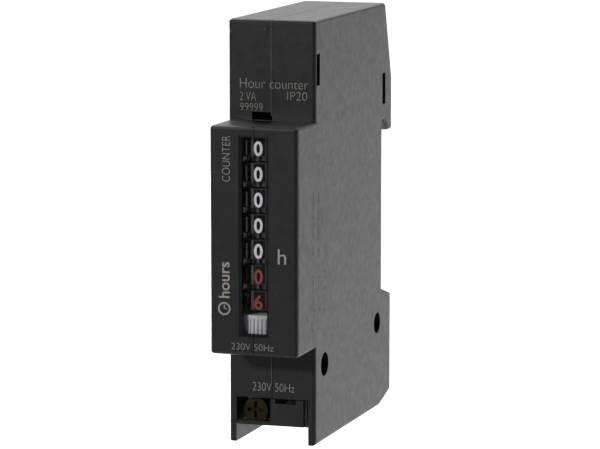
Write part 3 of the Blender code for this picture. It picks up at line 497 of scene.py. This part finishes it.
def ring(middle, radii, y):
    """A closed flat ring on a front plane, as a mesh."""
    bm = bmesh.new()
    rows = []
    for i in range(CLOCK_SIDES):
        way = 2 * math.pi * i / CLOCK_SIDES
        rows.append([bm.verts.new(at(middle[0] + r * math.cos(way), depth,
                                     middle[1] + r * math.sin(way)))
                     for r, depth in ((radii[0], y), (radii[1], y),
                                      (radii[1], y - PRINT_THICK), (radii[0], y - PRINT_THICK))])
    for a, b in zip(rows, rows[1:] + rows[:1]):
        for k in range(4):
            bm.faces.new((a[k], a[(k + 1) % 4], b[(k + 1) % 4], b[k]))
    bmesh.ops.recalc_face_normals(bm, faces=bm.faces)
    mesh = bpy.data.meshes.new("ring")
    bm.to_mesh(mesh)
    bm.free()
    return mesh


def clock_symbol():
    """A ring with two hands, the plain symbol of a clock."""
    turned = []
    for long, wide, degrees in CLOCK_HANDS:
        hand = plate((-wide / 2, long), (-PRINT_THICK, 0), (-wide / 2, wide / 2))
        way = Matrix.Rotation(math.radians(-degrees), 4, "Y")
        turned.append((hand, Matrix.Translation(at(CLOCK_X, NOSE_FRONT, CLOCK_Z)) @ way))
    turned.append((ring((CLOCK_X, CLOCK_Z), CLOCK_R, NOSE_FRONT), Matrix()))
    piece("print_clock", joined("print_clock", turned), "housing", PALE_INK)


def seam_highlight():
    """A painted highlight on the left shell's edge, where the two shells meet on the block's front."""
    for name, z in SEAM_HIGHLIGHT_Z.items():
        low, high = (height - RAIL_MIDDLE for height in z)
        mesh = plate(SEAM_HIGHLIGHT_X, (BLOCK_FRONT - SEAM_HIGHLIGHT_THICK, BLOCK_FRONT + SINK), (low, high))
        piece("seam_highlight_" + name, mesh, "housing", SEAM_HIGHLIGHT)


def parting_line():
    """The fine dark line down the nose's right side, just behind its rounded front edge."""
    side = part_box("housing_right")[1].x / MM
    low, high = (height - RAIL_MIDDLE for height in PARTING_Z)
    mesh = plate((side - SINK, side + PARTING_THICK),
                 (PARTING_Y - PARTING_HALF, PARTING_Y + PARTING_HALF), (low, high))
    piece("nose_parting_line", mesh, "housing", BLACK_INK)


def smooth_spring():
    """The latch spring as a smooth coil."""
    low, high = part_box("latch_spring")
    middle = (low + high) / 2
    coil_r = (high.x - low.x) / 2 - SPRING_WIRE_R * MM
    bm = bmesh.new()
    rows = []
    steps = SPRING_TURNS * SPRING_ALONG
    foot, head = low.z + SPRING_WIRE_R * MM, high.z - SPRING_WIRE_R * MM
    for i in range(steps + 1):
        way = 2 * math.pi * i / SPRING_ALONG
        out = Vector((math.cos(way), math.sin(way), 0))
        core = Vector((middle.x, middle.y, foot + (head - foot) * i / steps)) + out * coil_r
        rows.append([bm.verts.new(core + (out * math.cos(t) + Vector((0, 0, math.sin(t))))
                                  * SPRING_WIRE_R * MM)
                     for t in (2 * math.pi * k / SPRING_AROUND for k in range(SPRING_AROUND))])
    for a, b in zip(rows, rows[1:]):
        for k in range(SPRING_AROUND):
            after = (k + 1) % SPRING_AROUND
            bm.faces.new((a[k], a[after], b[after], b[k])).smooth = True
    bm.faces.new(rows[0])
    bm.faces.new(rows[-1])
    bmesh.ops.recalc_face_normals(bm, faces=bm.faces)
    mesh = bpy.data.meshes.new("latch_coil")
    bm.to_mesh(mesh)
    bm.free()
    coil = piece("latch_coil", mesh, "housing", STEEL)
    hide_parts("latch_spring")
    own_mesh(coil)


def housing_print():
    """All print: on the nose, on the upper and lower front, and on the right side."""
    front_print("print_unit", "h", (4.97, 6.69), (37.95, 40.89), NOSE_FRONT, PALE_INK, PLAIN)
    front_print("print_supply_nose", "230V 50Hz", (-4.6, 4.1), (20.7, 22.0), NOSE_FRONT, SOFT_INK)
    front_print("print_kind", "COUNTER", (-6.4, -4.8), (53.7, 62.65), NOSE_FRONT, SOFT_INK,
                THIN, True)
    front_print("print_name", "hours", (-7.2, -4.9), (30.8, 37.9), NOSE_FRONT, PALE_INK,
                HEAVY, True)
    clock_symbol()
    front_print("print_heading", "Hour counter", (-6.6, 7.5), (70.9, 72.8), BLOCK_FRONT, SOFT_INK)
    front_print("print_power", "2 VA", (-6.6, -3.3), (68.4, 70.1), BLOCK_FRONT, SOFT_INK)
    front_print("print_cover", "IP20", (3.2, 7.3), (68.7, 70.4), BLOCK_FRONT, SOFT_INK)
    front_print("print_range", "99999", (-6.6, -1.9), (66.4, 67.9), BLOCK_FRONT, SOFT_INK)
    front_print("print_supply_foot", "230V 50Hz", (-4.1, 4.65), (10.5, 12.2), BLOCK_FRONT,
                SOFT_INK)
    side_print("side_print_supply", "Supply 230 V 50 Hz 2 VA", (-46.9, -46.1), (23.0, 51.0))
    side_print("side_print_range", "Counts 0 to 99999.99 hours", (-43.5, -42.7), (26.0, 58.0))
    side_print("side_print_rail", "For a 35 mm rail", (-39.6, -38.8), (26.0, 44.0))


# ---------------------------------------------------------------- stage

def stage():
    """The floor, a plain sheet of paper under and around the meter."""
    floor_z = CAD_BOX[0].z - FLOOR_DROP * MM
    bm = bmesh.new()
    bmesh.ops.create_grid(bm, x_segments=1, y_segments=1, size=FLOOR_REACH,
                          matrix=Matrix.Translation((0, 0, floor_z)))
    mesh = bpy.data.meshes.new("floor")
    bm.to_mesh(mesh)
    bm.free()
    floor = bpy.data.objects.new("floor", mesh)
    bpy.context.scene.collection.objects.link(floor)
    paper = new_material("floor_paper")
    forward = add(paper, "SeparateXYZ", Vector=place(paper)).outputs["Y"]
    sweep = span(paper, forward, *PAPER_Y)
    into(paper, "Base Color", ramp(paper, sweep, 0.0, 1.0, (PAPER_GREY, PAPER_WHITE)))
    into(paper, "Roughness", span(paper, noise(paper, 60), 0.0, 1.0, 0.8, 0.9))
    mesh.materials.append(paper)


def area_light(name, spot, target, size, watts):
    """A rectangular lamp of that size that stands at the spot and faces the target."""
    light = bpy.data.lights.new(name, "AREA")
    light.shape = "RECTANGLE"
    light.size, light.size_y = size
    light.energy = watts
    obj = bpy.data.objects.new(name, light)
    bpy.context.scene.collection.objects.link(obj)
    obj.location = spot
    obj.rotation_mode = "QUATERNION"
    obj.rotation_quaternion = (Vector(target) - Vector(spot)).to_track_quat("-Z", "Y")


def surroundings():
    """Soft studio light: a bright room behind the meter and a dim one in front, with a wide lamp
    over the floor behind it, a soft one behind its left side and a small key light in front.
    """
    world = bpy.data.worlds.new("studio")
    bpy.context.scene.world = world
    world.use_nodes = True
    tree = world.node_tree
    back = tree.nodes["Background"]
    way = tree.nodes.new("ShaderNodeTexCoord")
    split = tree.nodes.new("ShaderNodeSeparateXYZ")
    spread = tree.nodes.new("ShaderNodeMapRange")
    tree.links.new(way.outputs["Generated"], split.inputs[0])
    tree.links.new(split.outputs["Y"], spread.inputs["Value"])
    for end, way_y, strength in zip(("Min", "Max"), ROOM_Y, ROOM_STRENGTH):
        spread.inputs["From " + end].default_value = way_y
        spread.inputs["To " + end].default_value = strength
    tree.links.new(spread.outputs[0], back.inputs["Strength"])
    back.inputs["Color"].default_value = (1.0, 1.0, 1.0, 1.0)
    for name, lamp in LAMPS.items():
        area_light(name, *lamp)


def camera():
    """The scene's camera, level from side to side."""
    az, el = math.radians(AZIMUTH), math.radians(ELEVATION)
    back = Vector((math.sin(az) * math.cos(el), -math.cos(az) * math.cos(el), math.sin(el)))
    data = bpy.data.cameras.new("camera")
    data.lens, data.sensor_width = LENS, SENSOR
    data.shift_x, data.shift_y = SHIFT
    data.clip_start, data.clip_end = CLIP
    obj = bpy.data.objects.new("camera", data)
    bpy.context.scene.collection.objects.link(obj)
    obj.location = Vector(CAMERA_AT) * MM
    obj.rotation_mode = "QUATERNION"
    obj.rotation_quaternion = (-back).to_track_quat("-Z", "Y")
    bpy.context.scene.camera = obj


finish_cad_nodes()
drum_figures()
housing_print()
side_dots()
seam_highlight()
parting_line()
smooth_spring()
stage()
surroundings()
camera()
bpy.context.scene.view_settings.view_transform = "Standard"
